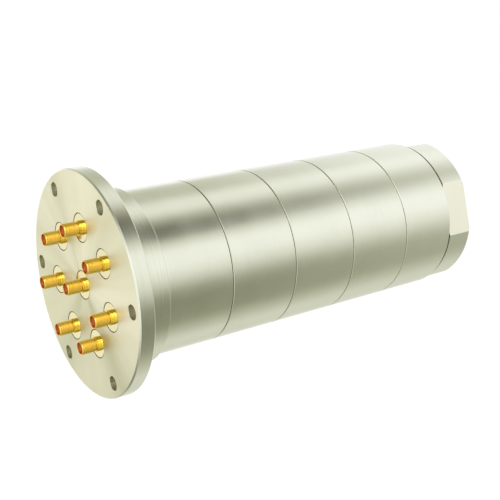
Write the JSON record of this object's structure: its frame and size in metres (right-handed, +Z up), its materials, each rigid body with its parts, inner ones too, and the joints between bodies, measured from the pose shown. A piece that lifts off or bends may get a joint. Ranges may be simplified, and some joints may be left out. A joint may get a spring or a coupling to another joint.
{
  "type": "slip ring",
  "caption": "Flange-mounted cylindrical slip ring with threaded gold coaxial jacks at both ends and wrench flats on its turning end.",
  "frame": {"origin": "centre of the bolt circle on the flange's mounting face, which is the flange's rear face", "axes": "+X along the axis of rotation from the flange towards the rotor end, +Z up"},
  "size_m": [0.2264, 0.105, 0.105],
  "materials": {
    "housing_aluminium": "satin conversion-coated, turned",
    "inner_aluminium": "satin turned",
    "dielectric": "satin",
    "gold_plate": "gold plated, bright",
    "gold_contact": "gold plated, bright",
    "brass": "turned",
    "gold_ring": "gold plated, turned",
    "copper": "drawn copper",
    "seal_rubber": "matte",
    "cage_brass": "machined",
    "steel": "ground"
  },
  "bodies": {
    "stator": {"flange_housing": "housing_aluminium", "module_housing_1": "housing_aluminium", "module_housing_2": "housing_aluminium", "module_housing_3": "housing_aluminium", "end_housing": "housing_aluminium", "tie_rods": "steel", "joint_seals": "seal_rubber", "bearing_carrier": "inner_aluminium", "stator_jack_0": "gold_plate", "stator_jack_1": "gold_plate", "stator_jack_2": "gold_plate", "stator_jack_3": "gold_plate", "stator_jack_4": "gold_plate", "stator_jack_5": "gold_plate", "stator_jack_6": "gold_plate", "stator_jack_7": "gold_plate", "stator_jack_insulators": "dielectric", "stator_jack_contacts": "gold_contact", "stator_ring_1": "brass", "stator_ring_2": "brass", "stator_ring_3": "brass", "stator_ring_4": "brass", "stator_ring_5": "brass", "stator_ring_6": "brass", "stator_ring_7": "brass", "contact_springs": "copper", "axis_channel_stator": "brass", "stator_leads": "copper", "front_outer_race": "steel", "rear_outer_race": "steel", "shaft_seal": "seal_rubber"},
    "rotor": {"rotor_end": "housing_aluminium", "rotor_shaft": "steel", "rotor_screws": "steel", "rotor_ring_1": "gold_ring", "rotor_ring_2": "gold_ring", "rotor_ring_3": "gold_ring", "rotor_ring_4": "gold_ring", "rotor_ring_5": "gold_ring", "rotor_ring_6": "gold_ring", "rotor_ring_7": "gold_ring", "axis_channel_rotor": "brass", "rotor_leads": "copper", "front_inner_race": "steel", "rear_inner_race": "steel", "bearing_locknut": "steel", "rotor_jack_0": "gold_plate", "rotor_jack_1": "gold_plate", "rotor_jack_2": "gold_plate", "rotor_jack_3": "gold_plate", "rotor_jack_4": "gold_plate", "rotor_jack_5": "gold_plate", "rotor_jack_6": "gold_plate", "rotor_jack_7": "gold_plate", "rotor_jack_insulators": "dielectric", "rotor_jack_contacts": "gold_contact"},
    "front_ball_set": {"front_balls": "steel", "front_cage": "cage_brass"},
    "rear_ball_set": {"rear_balls": "steel", "rear_cage": "cage_brass"}
  },
  "joints": [
    {"name": "rotor_spin", "type": "hinge", "parent": "stator", "child": "rotor", "pos_m": [0, 0, 0], "axis": [1, 0, 0], "continuous": true},
    {"name": "front_ball_orbit", "type": "hinge", "parent": "stator", "child": "front_ball_set", "pos_m": [0, 0, 0], "axis": [1, 0, 0], "continuous": true},
    {"name": "rear_ball_orbit", "type": "hinge", "parent": "stator", "child": "rear_ball_set", "pos_m": [0, 0, 0], "axis": [1, 0, 0], "continuous": true}
  ],
  "couplings": [
    {"joint": "front_ball_orbit", "follows": "rotor_spin", "ratio": 0.4286},
    {"joint": "rear_ball_orbit", "follows": "rotor_spin", "ratio": 0.4286}
  ]
}
